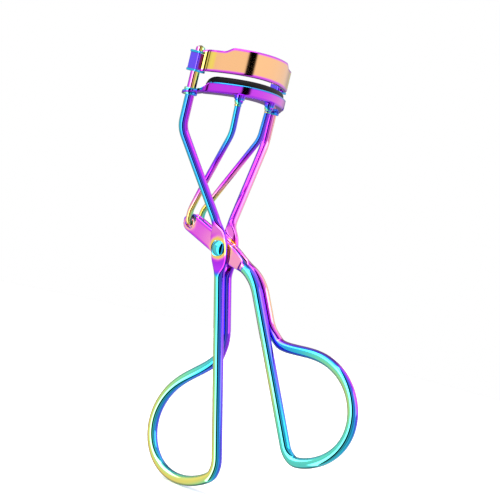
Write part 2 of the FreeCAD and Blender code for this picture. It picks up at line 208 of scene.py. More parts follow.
def moulded_rubber():
    """Moulded black silicone: soft wide sheen, with the fine grain of a spark-eroded mould."""
    material = bpy.data.materials.new("moulded_silicone_pad")
    material.use_nodes = True
    tree = material.node_tree
    shader = tree.nodes["Principled BSDF"]
    place = add(tree, "ShaderNodeTexCoord")
    dust = add(tree, "ShaderNodeTexNoise", {"Vector": place.outputs["Object"],
                                            "Scale": 1 / (2.2 * MM), "Detail": 3.0})
    tint = add(tree, "ShaderNodeMix", {"Factor": dust.outputs["Fac"], 6: linear("#030303"),
                                       7: linear("#0c0c0d")}, data_type="RGBA")
    grain = add(tree, "ShaderNodeTexNoise", {"Vector": place.outputs["Object"],
                                             "Scale": 1 / (0.18 * MM), "Detail": 2.0})
    bump = add(tree, "ShaderNodeBump", {"Height": grain.outputs["Fac"], "Strength": 0.25,
                                        "Distance": 0.03 * MM})
    tree.links.new(tint.outputs[2], shader.inputs["Base Color"])
    tree.links.new(bump.outputs["Normal"], shader.inputs["Normal"])
    shader.inputs["Roughness"].default_value = 0.36
    shader.inputs["IOR"].default_value = 1.41
    shader.inputs["Specular IOR Level"].default_value = 0.14
    return material


# The film on each surface, as a phase round PLATING_COLOURS.
LEG_FILM, ARM_FILM = 0.29, 0.31              # cyan turning blue
FAR_LEG_THICKER, FAR_ARM_THICKER = 0.10, 0.26
LOOP_THINNER = 0.05
POST_TOP_THICKER = 0.40                      # the posts turn magenta above the lower jaw
EYE_FILM_LOW, EYE_FILM_HIGH = 0.58, 0.72     # violet below the rivet, magenta above
RING_FILM = 0.97                             # yellow round the rivet
HOLE_RING_FILM = 0.93                        # and round the push wire's hole
LEVER_FILM = 0.28
LEVER_FAR_THICKER, LEVER_LOOP_THINNER = 0.34, 0.06
STRAP_FILM_LEFT, STRAP_FILM_RIGHT = 0.69, 0.78
# violet painted shade along the straps' edges, where they round away
STRAP_EDGE_SHADE_FILM = 0.60
PUSH_FILMS = (0.92, 0.55, 0.20)              # gold at the foot, violet, green-blue at the top
PUSH_FAR_THICKER = 0.10
CUP_FILM_LOW, CUP_FILM_HIGH = 0.05, 0.42
# cyan painted highlight along the walls' top rims
CHANNEL_RIM_HIGHLIGHT_FILM = 0.25
# violet painted shade along the channel's foot
CHANNEL_FOOT_SHADE_FILM = 0.55
CHANNEL_FILM_LEFT, CHANNEL_FILM_RIGHT = 0.635, 0.70
EAR_FILM = 0.18
# magenta painted reflection along the band's rounded rims
BAND_RIM_REFLECTION_FILM = 0.66
BAND_FILM, BAND_END_FILM = 0.885, 0.96       # peach, gold at the ends
CLIP_LIP_FILM, CLIP_SIDE_FILM, CLIP_FACE_FILM = 0.24, 0.44, 0.60
EYELET_FILM, RIVET_FILM, SPACER_FILM = 0.17, 0.27, 0.12
BEAD_FILM_LOW, BEAD_FILM_HIGH = -0.02, 0.42

# Swing, roughness and drift: round wire runs through many colours as it turns, partly film and
# partly painted sheen from view angle; sheet keeps near one, and drift clouds it a little.
PLATED_WIRE = plated_steel("ion_plated_drawn_wire", 0.28, 0.05, 0.10)
PLATED_LINK = plated_steel("ion_plated_push_wire", 0.24, 0.055, 0.12)
PLATED_RIVET = plated_steel("ion_plated_cold_headed_rivet", 0.12, 0.05, 0.03)
PLATED_COLLAR = plated_steel("ion_plated_turned_collar", 0.42, 0.06, 0.06)
PLATED_CLIP = plated_steel("ion_plated_folded_clip", 0.16, 0.07, 0.04)
PLATED_CHANNEL = plated_steel("ion_plated_pressed_channel", 0.10, 0.06, 0.03)
PLATED_BAND = plated_steel("ion_plated_rolled_band", 0.06, 0.05, 0.02)
RUBBER = moulded_rubber()


# ------------------------------------------------------------------------- paths of bent wire
def rounded_path(corners, radii, step):
    """Points every step along straight runs that tangent arcs join."""
    spans = []
    start = corners[0]
    for corner, following, radius in zip(corners[1:-1], corners[2:], radii):
        back = (start - corner).normalized()
        ahead = (following - corner).normalized()
        half_turn = (math.pi - back.angle(ahead)) / 2
        trim = radius * math.tan(half_turn)
        arc_from, arc_to = corner + back * trim, corner + ahead * trim
        centre = corner + (back + ahead).normalized() * (radius / math.cos(half_turn))
        spans.append(("run", start, arc_from))
        spans.append(("arc", arc_from, arc_to, centre, 2 * half_turn))
        start = arc_to
    spans.append(("run", start, corners[-1]))
    points = []
    for span in spans:
        a, b = span[1], span[2]
        if span[0] == "run":
            count = max(1, round((b - a).length / step))
            points += [a.lerp(b, i / count) for i in range(count)]
        else:
            centre, turn = span[3], span[4]
            count = max(3, math.ceil(turn / math.radians(5)))
            arm_a, arm_b = a - centre, b - centre
            for i in range(count):
                t = turn * i / count
                swung = (arm_a * math.sin(turn - t) + arm_b * math.sin(t)) / math.sin(turn)
                points.append(centre + swung)
    points.append(corners[-1])
    return points


def respaced(points, step):
    """The same line with its points an even step apart."""
    line = [points[0]]
    left = step
    for a, b in zip(points, points[1:]):
        length = (b - a).length
        while left <= length:
            line.append(a.lerp(b, left / length))
            left += step
        left -= length
    if (points[-1] - line[-1]).length < 0.4 * step:
        line.pop()
    return line + [points[-1]]


EASE_ROUNDS = 220        # how often a finger loop is evened out
EASE_PULL = 0.66         # how far a point moves to the middle of its neighbours each time
EASE_RETURN = 0.8        # how much of the shrinking that causes is given back


def relaxed(points, weights, rounds):
    """Evens out a line's curvature where weights are above 0, keeping its overall size."""
    def blurred(line):
        for _ in range(rounds):
            line = [p if w == 0 else p.lerp((a + b) / 2, w * EASE_PULL)
                    for a, p, b, w in zip([line[0]] + line, line, line[1:] + [line[-1]], weights)]
        return line
    once = blurred(points)
    twice = blurred(once)
    return [a + (a - b) * EASE_RETURN for a, b in zip(once, twice)]


def ease(low, high, value):
    """0 below low, 1 above high, smooth between."""
    t = min(1.0, max(0.0, (value - low) / (high - low)))
    return t * t * (3 - 2 * t)


def mix(a, b, t):
    """From a to b as t goes from 0 to 1."""
    return a + (b - a) * t


# ------------------------------------------------------- pressed wire, made by Geometry Nodes
def pressed_wire_tree(material):
    """Sweeps a section along a line of points. Each point carries the section's half width,
    half thickness and squareness: 1 is round wire, smaller is wire pressed flat."""
    tree = bpy.data.node_groups.new("pressed_wire", "GeometryNodeTree")
    face = tree.interface
    face.new_socket("Path", in_out="INPUT", socket_type="NodeSocketGeometry")
    sides = face.new_socket("Sides", in_out="INPUT", socket_type="NodeSocketInt")
    sides.default_value = 28
    face.new_socket("Wire", in_out="OUTPUT", socket_type="NodeSocketGeometry")
    entry = add(tree, "NodeGroupInput")

    def vector(operation, *values):
        links = dict(enumerate(values))
        if operation == "SCALE":
            links = {0: values[0], "Scale": values[1]}
        node = add(tree, "ShaderNodeVectorMath", links, operation=operation)
        return node.outputs["Value" if operation == "DOT_PRODUCT" else "Vector"]

    def number(operation, *values):
        return add(tree, "ShaderNodeMath", dict(enumerate(values)), operation=operation).outputs[0]

    def stored(name):
        node = add(tree, "GeometryNodeInputNamedAttribute", {"Name": name}, data_type="FLOAT")
        return node.outputs["Attribute"]

    line = add(tree, "GeometryNodeMeshToCurve", {"Mesh": entry.outputs["Path"]})
    tangent = add(tree, "GeometryNodeInputTangent").outputs[0]
    wide = vector("NORMALIZE", vector("CROSS_PRODUCT", tangent, (0.0, 1.0, 0.0)))
    thick = vector("CROSS_PRODUCT", wide, tangent)
    captured = add(tree, "GeometryNodeCaptureAttribute")
    for item in ("centre", "wide", "thick"):
        captured.capture_items.new("VECTOR", item)
    tree.links.new(line.outputs["Curve"], captured.inputs["Geometry"])
    tree.links.new(add(tree, "GeometryNodeInputPosition").outputs[0], captured.inputs["centre"])
    tree.links.new(wide, captured.inputs["wide"])
    tree.links.new(thick, captured.inputs["thick"])
    normal = add(tree, "GeometryNodeSetCurveNormal",
                 {"Curve": captured.outputs["Geometry"], "Normal": captured.outputs["thick"]}, mode="FREE")
    section = add(tree, "GeometryNodeCurvePrimitiveCircle",
                  {"Resolution": entry.outputs["Sides"], "Radius": 1.0})
    swept = add(tree, "GeometryNodeCurveToMesh", {"Curve": normal.outputs["Curve"],
                                                  "Profile Curve": section.outputs["Curve"],
                                                  "Fill Caps": True})
    offset = vector("SUBTRACT", add(tree, "GeometryNodeInputPosition").outputs[0],
                    captured.outputs["centre"])

    def shaped(axis, half):
        reach = vector("DOT_PRODUCT", offset, axis)
        bent = number("POWER", number("ABSOLUTE", reach), stored("squareness"))
        signed = number("MULTIPLY", number("SIGN", reach), bent)
        return vector("SCALE", axis, number("MULTIPLY", signed, half))

    across = shaped(captured.outputs["wide"], stored("half_width"))
    through = shaped(captured.outputs["thick"], stored("half_thickness"))
    place = vector("ADD", captured.outputs["centre"], vector("ADD", across, through))
    moved = add(tree, "GeometryNodeSetPosition", {"Geometry": swept.outputs["Mesh"], "Position": place})
    merged = add(tree, "GeometryNodeMergeByDistance", {"Geometry": moved.outputs["Geometry"],
                                                       "Distance": 0.002 * MM})
    real = add(tree, "GeometryNodeRealizeInstances", {"Geometry": merged.outputs["Geometry"]})
    finish = add(tree, "GeometryNodeSetMaterial", {"Geometry": real.outputs["Geometry"],
                                                   "Material": material})
    add(tree, "NodeGroupOutput", {"Wire": finish.outputs["Geometry"]})
    return tree, sides.identifier


def plain_mesh(source, name):
    """The evaluated object as a plain mesh object, with its modifiers gone."""
    depsgraph = bpy.context.evaluated_depsgraph_get()
    mesh = bpy.data.meshes.new_from_object(source.evaluated_get(depsgraph))
    mesh.name = name
    piece = new_object(name, mesh)
    bpy.data.objects.remove(source)
    return piece


def smooth(piece, degrees=38):
    """Smooth shading, with edges sharper than this angle kept crisp."""
    piece.data.shade_smooth()
    piece.data.set_sharp_from_angle(angle=math.radians(degrees))


def outward(mesh):
    """Turns all faces outwards."""
    work = bmesh.new()
    work.from_mesh(mesh)
    bmesh.ops.recalc_face_normals(work, faces=work.faces)
    work.to_mesh(mesh)
    work.free()


def make_wire(name, stations, material, sides=28):
    """stations: (point, half width, half thickness, squareness) along the wire."""
    mesh = bpy.data.meshes.new(name + "_path")
    mesh.from_pydata([station[0] for station in stations],
                     [(i, i + 1) for i in range(len(stations) - 1)], [])
    for index, key in enumerate(("half_width", "half_thickness", "squareness"), start=1):
        layer = mesh.attributes.new(key, "FLOAT", "POINT")
        layer.data.foreach_set("value", [station[index] for station in stations])
    path = new_object(name + "_path", mesh)
    tree, sides_input = pressed_wire_tree(material)
    modifier = path.modifiers.new("pressed_wire", "NODES")
    modifier.node_group = tree
    modifier[sides_input] = sides
    piece = plain_mesh(path, name)
    outward(piece.data)
    smooth(piece)
    return piece


# ---------------------------------------------------------------------- sizes of the wire work
HANDLE_R = 1.25 * MM
GUIDE_R = 1.1 * MM
PUSH_R = 0.75 * MM
LEG_Y = 1.35 * MM
EYE_Y = 2.0 * MM
STRAP_Y = 0.9 * MM
SHEET_HALF = 0.5 * MM             # half the thickness of pressed wire
EYE_HALF_WIDTH = 2.3 * MM
STRAP_HALF_WIDTH = 2.2 * MM
EYE_REACH = 6.8 * MM
POST_BEND_Z = PIVOT.z + 26.0 * MM
POST_BEND_R = 6.0 * MM
ARM_END = Vector((-1.75, -2.55, 5.4)) * MM
STRAP_SLOPE = math.radians(19.5)
STRAP_ALONG = Vector((math.cos(STRAP_SLOPE), 0, -math.sin(STRAP_SLOPE)))
STRAP_LEFT = 11.7 * MM
STRAP_RIGHT = 7.6 * MM
STRAP_HOLE_R = 1.3 * MM
STRAP_ZONE_Z = PIVOT.z - 8 * MM      # the lever's wire is plain round below this
STRAP_ZONE_X = PIVOT.x + 13 * MM     # and beyond this
LEG_BEND_R = 11.0 * MM
LEG_LENGTH = 55.4 * MM
LOOP_LENGTH = 27.5 * MM
# leg angle from straight down, leg line's distance from the pivot, loop width, loop's side
LEFT_HANDLE = (math.radians(16.1), 0.3 * MM, 21.4 * MM, -1)
RIGHT_HANDLE = (math.radians(29.7), 8.1 * MM, 19.4 * MM, 1)
STEP = 0.45 * MM


def leg_directions(handle):
    """Down along the leg, and out towards its loop."""
    angle, _, _, side = handle
    return (Vector((math.sin(angle), 0, -math.cos(angle))),
            Vector((side * math.cos(angle), 0, side * math.sin(angle))))


def handle_corners(handle):
    """One leg and finger loop: a function that places points by the leg, corners and radii."""
    _, offset, loop_w, _ = handle
    down, out = leg_directions(handle)
    top = LEG_LENGTH - LOOP_LENGTH

    def at(along, across, y):
        return PIVOT + down * along + out * (offset + across) + Vector((0, y, 0))

    corners = [
        at(LEG_LENGTH, 0, -LEG_Y),
        at(LEG_LENGTH - 0.8 * MM, loop_w, -0.4 * LEG_Y),
        at(top + 0.40 * LOOP_LENGTH, loop_w, 0.2 * LEG_Y),
        at(top + 0.115 * LOOP_LENGTH, 0.68 * loop_w, 0.5 * LEG_Y),
        at(top - 0.6 * MM, 0.13 * loop_w, LEG_Y),
        at(top - 6.0 * MM, 0, LEG_Y),
    ]
    radii = [5.5 * MM, 0.52 * loop_w, 0.48 * loop_w, 0.62 * loop_w, 3.6 * MM, 9.0 * MM]
    return at, corners, radii


def eased_loop(points, handle):
    """The finger loop as it is bent by hand tools: one even curve away from the leg."""
    offset = handle[1]
    down, out = leg_directions(handle)
    weights = []
    for p in points:
        away = (p - PIVOT).dot(out) - offset
        below = (p - PIVOT).dot(down)
        weights.append(ease(1.2 * MM, 5.5 * MM, away) * ease(12 * MM, 18 * MM, below))
    return relaxed(points, weights, EASE_ROUNDS)


def flipped(points):
    """The same points on the other side of the tool, in the opposite order."""
    return [Vector((p.x, -p.y, p.z)) for p in reversed(points)]


def make_guide_frame():
    """One wire: post, arm, pivot eye, leg, finger loop, leg, eye, arm, post."""
    at, corners, radii = handle_corners(LEFT_HANDLE)
    post = Vector((POST_X, -POST_Y, 0))
    arm_end = PIVOT + ARM_END
    near = [Vector((post.x, post.y, POST_TOP)), Vector((post.x, post.y, POST_BEND_Z)),
            arm_end, PIVOT + Vector((0.2 * MM, -EYE_Y, 0)), at(7.0 * MM, 0, -LEG_Y)]
    near_radii = [POST_BEND_R, 9 * MM, 30 * MM, 9 * MM]
    points = rounded_path(near + corners + flipped(near), near_radii + radii + near_radii[::-1], STEP)
    points = eased_loop(respaced(points, STEP), LEFT_HANDLE)
    stations = []
    for p in points:
        reach = math.hypot(p.x - PIVOT.x, p.z - PIVOT.z)
        round_r = mix(HANDLE_R, GUIDE_R, ease(-1 * MM, 3 * MM, p.z - PIVOT.z))
        pressed = 1 - ease(0.55 * EYE_REACH, EYE_REACH, reach)
        widened = 1 - ease(0.28 * EYE_REACH, EYE_REACH, reach)
        tip = min((points[0] - p).length, (points[-1] - p).length)
        crown = math.sqrt(max(0.0, 1 - (1 - min(1.0, tip / (0.7 * GUIDE_R))) ** 2))
        crown = mix(0.12, 1.0, crown)
        stations.append((p, mix(round_r, EYE_HALF_WIDTH, widened) * crown,
                         mix(round_r, SHEET_HALF, pressed) * crown, mix(1.0, 0.34, pressed)))
    wire = make_wire("guide_frame_wire", stations, PLATED_WIRE)

    def film(p, normal):
        reach = math.hypot(p.x - PIVOT.x, p.z - PIVOT.z)
        far = ease(-1 * MM, 1 * MM, p.y)
        above = ease(-2 * MM, 4 * MM, p.z - PIVOT.z)
        loop = ease(26 * MM, 34 * MM, PIVOT.z - p.z) * ease(2 * MM, 8 * MM, PIVOT.x + 6 * MM - p.x)
        phase = mix(LEG_FILM, ARM_FILM, above) - LOOP_THINNER * loop
        phase += far * mix(FAR_LEG_THICKER, FAR_ARM_THICKER, above)
        hold = 0.3 * far + 0.15 * loop
        plate = (1 - ease(0.75 * EYE_REACH, 1.05 * EYE_REACH, reach)) * ease(0.5, 0.85, abs(normal.y))
        ring = 1 - ease(2.1 * MM, 3.3 * MM, reach)
        lined = mix(EYE_FILM_LOW, EYE_FILM_HIGH, ease(0, 4 * MM, p.z - PIVOT.z))
        phase += POST_TOP_THICKER * ease(34.6 * MM, 35.4 * MM, p.z - PIVOT.z)
        return mix(phase, mix(lined, RING_FILM, ring), plate), mix(hold, 1.0, plate)

    set_film(wire, film)
    return wire


def make_squeeze_lever():
    """One wire: strap, knee, leg, finger loop, leg, knee, strap."""
    _, corners, radii = handle_corners(RIGHT_HANDLE)
    knee = PIVOT + STRAP_ALONG * (RIGHT_HANDLE[1] / math.cos(RIGHT_HANDLE[0] + STRAP_SLOPE))
    hole = PIVOT - STRAP_ALONG * STRAP_LEFT
    strap_y, leg_y = Vector((0, -STRAP_Y, 0)), Vector((0, -LEG_Y, 0))
    near = [hole - STRAP_ALONG * STRAP_HALF_WIDTH * 0.995 + strap_y,
            PIVOT + STRAP_ALONG * (STRAP_RIGHT - 2.5 * MM) + strap_y, knee + leg_y]
    points = rounded_path(near + corners + flipped(near),
                          [12 * MM, LEG_BEND_R] + radii + [LEG_BEND_R, 12 * MM], STEP)
    points = eased_loop(respaced(points, STEP), RIGHT_HANDLE)
    stations = []
    for p in points:
        near_strap = p.z > STRAP_ZONE_Z and p.x < STRAP_ZONE_X
        reach = (p - PIVOT).dot(STRAP_ALONG) if near_strap else LEG_LENGTH
        pressed = 1 - ease(STRAP_RIGHT - 0.7 * MM, STRAP_RIGHT + 0.7 * MM, reach)
        widened = 1 - ease(0.30 * STRAP_RIGHT, STRAP_RIGHT + 1.4 * MM, reach)
        end = min(1.0, (reach + STRAP_LEFT + STRAP_HALF_WIDTH) / STRAP_HALF_WIDTH)
        nose = math.sqrt(max(0.003, 1 - (1 - end) ** 2)) if end < 1 else 1.0
        stations.append((p, mix(HANDLE_R, STRAP_HALF_WIDTH, widened) * nose,
                         mix(HANDLE_R, SHEET_HALF, pressed), mix(1.0, 0.30, pressed)))
    lever = make_wire("squeeze_lever_wire", stations, PLATED_WIRE)
    drill = lathe("drill", [(STRAP_HOLE_R, -5 * MM), (STRAP_HOLE_R, 5 * MM)], hole, "Y", PLATED_WIRE, 40)
    cut = lever.modifiers.new("hole", "BOOLEAN")
    cut.object = drill
    cut.solver = "EXACT"
    cut.operation = "DIFFERENCE"
    drilled = plain_mesh(lever, "squeeze_lever_wire")
    bpy.data.objects.remove(drill)
    smooth(drilled, 32)

    def film(p, normal):
        reach = math.hypot(p.x - PIVOT.x, p.z - PIVOT.z)
        ahead = (p - PIVOT).dot(STRAP_ALONG)
        across = abs((p - PIVOT).dot(Vector((STRAP_ALONG.z, 0, -STRAP_ALONG.x))))
        far = ease(-1 * MM, 1 * MM, p.y)
        loop = ease(24 * MM, 34 * MM, PIVOT.z - p.z) * ease(4 * MM, 14 * MM, p.x - PIVOT.x - 18 * MM)
        phase = LEVER_FILM + LEVER_FAR_THICKER * far * (1 - loop) - LEVER_LOOP_THINNER * loop
        flat = ease(0.6, 0.9, abs(normal.y)) * (ahead < STRAP_RIGHT + 1 * MM) * (p.z > STRAP_ZONE_Z)
        # painted shade: the straps' outer edges turn violet
        edge = ease(1.3 * MM, 2.1 * MM, across)
        ring = 1 - ease(2.4 * MM, 4.2 * MM, reach)
        hole_ring = 1 - ease(1.4 * MM, 2.2 * MM, (p - hole - Vector((0, p.y, 0))).length)
        pink = mix(STRAP_FILM_LEFT, STRAP_FILM_RIGHT, ease(-9 * MM, -1 * MM, ahead))
        lined = mix(mix(pink, STRAP_EDGE_SHADE_FILM, edge), RING_FILM, 0.9 * ring)
        lined = mix(lined, HOLE_RING_FILM, 0.8 * hole_ring)
        return mix(phase, lined, flat), mix(0.7 * loop, 1.0, flat)

    set_film(drilled, film)
    return drilled


def make_push_wire():
    """A U of wire: crossbar through the straps' holes, tips in the swivel beads."""
    hole = -STRAP_ALONG * STRAP_LEFT
    bead = middle("swivel_bead_left")
    bead.z = SWIVEL.z
    push_y = STRAP_Y + SHEET_HALF + PUSH_R + 0.15 * MM
    bead_y = -bead.y
    near = [bead - Vector((0, 0, 0.1 * MM)),
            Vector((bead.x - 0.1 * MM, -mix(push_y, bead_y, 0.88), POST_BEND_Z + 1.2 * MM)),
            PIVOT + Vector((0.68 * hole.x, -mix(push_y, bead_y, 0.35), hole.z + 10.8 * MM)),
            PIVOT + Vector((hole.x + 0.1 * MM, -push_y, hole.z + 3.2 * MM)),
            PIVOT + Vector((hole.x, -push_y, hole.z))]
    radii = [7 * MM, 9 * MM, 4 * MM, 1 * MM]
    points = rounded_path(near + flipped(near), radii + radii[::-1], STEP)
    stations = [(p, PUSH_R, PUSH_R, 1.0) for p in points]
    wire = make_wire("push_wire_rod", stations, PLATED_LINK, 20)

    def film(p, normal):
        share = (p.z - hole.z - PIVOT.z) / (bead.z - hole.z - PIVOT.z)
        far = ease(-1 * MM, 1 * MM, p.y)
        phase = mix(PUSH_FILMS[0], PUSH_FILMS[1], ease(0.05, 0.45, share))
        phase = mix(phase, PUSH_FILMS[2], ease(0.45, 0.75, share))
        return phase + PUSH_FAR_THICKER * far, 0.3

    set_film(wire, film)
    return wire


# -------------------------------------------------------------------- swept and turned pieces
def ring_mesh(name, rings, material, closed_along=False, sharp=38):
    """Skins a row of closed rings of points; the two ends are capped unless the row closes."""
    count = len(rings[0])
    points = [p for ring in rings for p in ring]
    faces = []
    last = len(rings) if closed_along else len(rings) - 1
    for i in range(last):
        a, b = i * count, ((i + 1) % len(rings)) * count
        for k in range(count):
            n = (k + 1) % count
            faces.append((a + k, a + n, b + n, b + k))
    if not closed_along:
        faces.append(tuple(range(count)))
        faces.append(tuple(range(len(points) - count, len(points))))
    mesh = bpy.data.meshes.new(name)
    mesh.from_pydata(points, [], faces)
    work = bmesh.new()
    work.from_mesh(mesh)
    bmesh.ops.remove_doubles(work, verts=work.verts, dist=0.001 * MM)
    bmesh.ops.recalc_face_normals(work, faces=work.faces)
    work.to_mesh(mesh)
    work.free()
    mesh.materials.append(material)
    piece = new_object(name, mesh)
    smooth(piece, sharp)
    return piece


def lathe(name, profile, centre, axis, material, turns=48, hollow=False, sharp=38):
    """Turns a profile of (radius, distance along the axis) about an axis through centre."""
    rings = []
    for i in range(turns):
        angle = 2 * math.pi * i / turns
        c, s = math.cos(angle), math.sin(angle)
        ring = []
        for radius, along in profile:
            if axis == "Y":
                ring.append(centre + Vector((radius * c, along, radius * s)))
            else:
                ring.append(centre + Vector((radius * c, radius * s, along)))
        rings.append(ring)
    if hollow:
        return ring_mesh(name, rings, material, closed_along=True, sharp=sharp)
    discs = [[rings[i][k] for i in range(turns)] for k in range(len(profile))]
    return ring_mesh(name, discs, material, sharp=sharp)


def joined(pieces, name):
    """One mesh object from several; their objects go."""
    work = bmesh.new()
    materials = []
    for piece in pieces:
        for material in piece.data.materials:
            if material not in materials:
                materials.append(material)
        work.from_mesh(piece.data)
    mesh = bpy.data.meshes.new(name)
    work.to_mesh(mesh)
    work.free()
    for material in materials:
        mesh.materials.append(material)
    for piece in pieces:
        bpy.data.objects.remove(piece)
    whole = new_object(name, mesh)
    smooth(whole)
    return whole


def round_corner(corner, before, after, radius, steps=4):
    """Points of an arc that rounds a 2-D corner."""
    back = Vector((before[0] - corner[0], before[1] - corner[1])).normalized()
    ahead = Vector((after[0] - corner[0], after[1] - corner[1])).normalized()
    place = Vector(corner)
    start, end = place + back * radius, place + ahead * radius
    points = []
    for i in range(steps + 1):
        t = i / steps
        points.append(start * (1 - t) ** 2 + place * 2 * t * (1 - t) + end * t ** 2)
    return points


def rounded_outline(corners, splits=1):
    """corners: (x, y, radius); gives the outline's points with each corner rounded. Each
    straight side is cut into splits, for colour to change along it."""
    arcs = []
    count = len(corners)
    for i, (x, y, radius) in enumerate(corners):
        before, after = corners[i - 1], corners[(i + 1) % count]
        arcs.append(round_corner((x, y), before, after, radius))
    points = []
    for arc, following in zip(arcs, arcs[1:] + arcs[:1]):
        points += arc
        points += [arc[-1].lerp(following[0], k / splits) for k in range(1, splits)]
    return points


def set_film(piece, rule):
    """Stores where the plating's colour is held: rule(point, normal) gives (phase, how firmly)."""
    mesh = piece.data
    pairs = [rule(v.co, v.normal) for v in mesh.vertices]
    for index, key in enumerate(("film", "hold")):
        layer = mesh.attributes.new(key, "FLOAT", "POINT")
        layer.data.foreach_set("value", [pair[index] for pair in pairs])


# ------------------------------------------------------------------------- sizes of the jaws
JAW_R = 31.0 * MM
JAW_SLOPE = math.tan(math.radians(16.5))
ARC_CENTRE_X = PIVOT.x - JAW_R
ARC_HALF_WIDTH = 14.8 * MM
SHEET_T = 0.8 * MM
LOWER_BASE_Z = PIVOT.z + 34.1 * MM
LOWER_WALL_H = 2.45 * MM
CHANNEL_WALL_T = 0.6 * MM
CHANNEL_W = 3.16 * MM
PAD_IN = 0.63 * MM
PAD_W = 1.9 * MM
PAD_H = 4.05 * MM
UPPER_BASE_Z = PIVOT.z + 39.0 * MM
UPPER_H = 5.1 * MM
UPPER_STEP_H = 1.0 * MM
STEP_HALF_WIDTH = 10.0 * MM
STEP_RAMP = 2.5 * MM
UPPER_INSET = 0.6 * MM
EAR_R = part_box("lower_jaw")[1].y - POST_Y
EYELET_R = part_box("guide_eyelet_right")[1].y - POST_Y
BEAD_R = 1.05 * MM


def height_at(x, z_at_post):
    """Height of a sloping jaw plane at a given X."""
    return z_at_post + (x - POST_X) * JAW_SLOPE


def standing(spot, base_z, rise):
    """A plan point lifted to a jaw plane, and rise above it."""
    return Vector((spot.x, spot.y, height_at(spot.x, base_z) + rise))


def arc_x(y, inset):
    """X of the jaws' arc at a given Y."""
    return ARC_CENTRE_X + math.sqrt((JAW_R - inset) ** 2 - y * y)


def arc_ring(turn, section, base_z):
    """A section of (inset, height) points stood on the jaws' arc at one angle."""
    ring = []
    for inset, rise in section:
        spot = Vector((ARC_CENTRE_X + (JAW_R - inset) * math.cos(turn), (JAW_R - inset) * math.sin(turn)))
        ring.append(standing(spot, base_z, rise))
    return ring


def arc_turns(half_width, count):
    """Evenly spaced angles along the jaws' arc."""
    end = math.asin(half_width / JAW_R)
    return [mix(-end, end, i / (count - 1)) for i in range(count)]


def make_channel():
    """Pressed channel that holds the pad; its walls run out towards the ears."""
    rings = []
    for turn in arc_turns(ARC_HALF_WIDTH, 96):
        edge = ARC_HALF_WIDTH - abs(JAW_R * math.sin(turn))
        wall = mix(LOWER_WALL_H - 0.5 * MM, LOWER_WALL_H, ease(0, 1.0 * MM, edge))
        rim = 0.22 * MM
        section = rounded_outline([
            (0.10 * MM, 0, 0.55 * MM), (CHANNEL_W - 0.1 * MM, 0, 0.45 * MM), (CHANNEL_W, wall, rim),
            (CHANNEL_W - CHANNEL_WALL_T, wall, rim), (CHANNEL_W - CHANNEL_WALL_T, SHEET_T, 0.05 * MM),
            (CHANNEL_WALL_T, SHEET_T, 0.05 * MM), (CHANNEL_WALL_T, wall, rim), (0, wall, rim)], 6)
        rings.append(arc_ring(turn, section, LOWER_BASE_Z))
    return ring_mesh("channel", rings, PLATED_CHANNEL, sharp=50)


def make_ear(side):
    """Flat ear round a guide post, with its web running into the channel."""
    root = ARC_HALF_WIDTH - 0.9 * MM
    post = Vector((POST_X, side * POST_Y))
    web = [Vector((arc_x(root, 0) - 0.15 * MM, side * root)),
           Vector((arc_x(root, CHANNEL_W) + 0.1 * MM, side * root)),
           post + Vector((-0.3 * EAR_R, -0.9 * side * EAR_R)),
           post + Vector((0.9 * EAR_R, 0.3 * side * EAR_R))]

    def reach(direction):
        best = EAR_R
        for a, b in zip(web, web[1:] + web[:1]):
            edge = b - a
            across = direction.x * edge.y - direction.y * edge.x
            if abs(across) < 1e-9:
                continue
            offset = a - post
            along = (offset.x * edge.y - offset.y * edge.x) / across
            share = (offset.x * direction.y - offset.y * direction.x) / across
            if along > 0 and 0 <= share <= 1:
                best = max(best, along)
        return best

    turns = 96
    bevel = 0.14 * MM
    levels = [(0.0, bevel), (bevel, 0.0), (SHEET_T - bevel, 0.0), (SHEET_T, bevel)]
    directions = [Vector((math.cos(2 * math.pi * i / turns), math.sin(2 * math.pi * i / turns)))
                  for i in range(turns)]
    reaches = [reach(d) for d in directions]
    for _ in range(3):
        reaches = [(reaches[i - 1] + 2 * reaches[i] + reaches[(i + 1) % turns]) / 4 for i in range(turns)]
    rings = []
    for d, r in zip(directions, reaches):
        ring = [standing(post + d * (r - cut), LOWER_BASE_Z, rise) for rise, cut in levels]
        ring += [standing(post + d * EYELET_R * 0.97, LOWER_BASE_Z, rise) for rise in (SHEET_T, 0.0)]
        rings.append(ring)
    return ring_mesh("ear", rings, PLATED_CHANNEL, closed_along=True)


def make_wing(side):
    """The front wall's end: it runs on to the eyelet and sinks into the ear."""
    root = ARC_HALF_WIDTH - 0.5 * MM
    inset = CHANNEL_WALL_T / 2
    turn = math.asin(root / (JAW_R - inset))
    start = Vector((arc_x(root, inset), side * root))
    heading = Vector((-math.sin(turn), side * math.cos(turn)))
    end = Vector((POST_X + 2.1 * MM, side * (POST_Y + 0.3 * MM)))
    knee = start + heading * 1.1 * MM
    rings = []
    count = 22
    for i in range(count + 1):
        t = i / count
        spot = start * (1 - t) ** 2 + knee * 2 * t * (1 - t) + end * t ** 2
        along = ((knee - start) * (1 - t) + (end - knee) * t).normalized()
        outwards = Vector((along.y, -along.x)) * side
        wall = mix(LOWER_WALL_H, SHEET_T + 0.1 * MM, ease(0.0, 0.95, t))
        half = CHANNEL_WALL_T / 2
        section = rounded_outline([(half, 0.04 * MM, 0.2 * MM), (half, wall, 0.22 * MM),
                                   (-half, wall, 0.22 * MM), (-half, 0.04 * MM, 0.1 * MM)], 6)
        rings.append([standing(spot + outwards * reach, LOWER_BASE_Z, rise) for reach, rise in section])
    return ring_mesh("wing", rings, PLATED_CHANNEL, sharp=50)


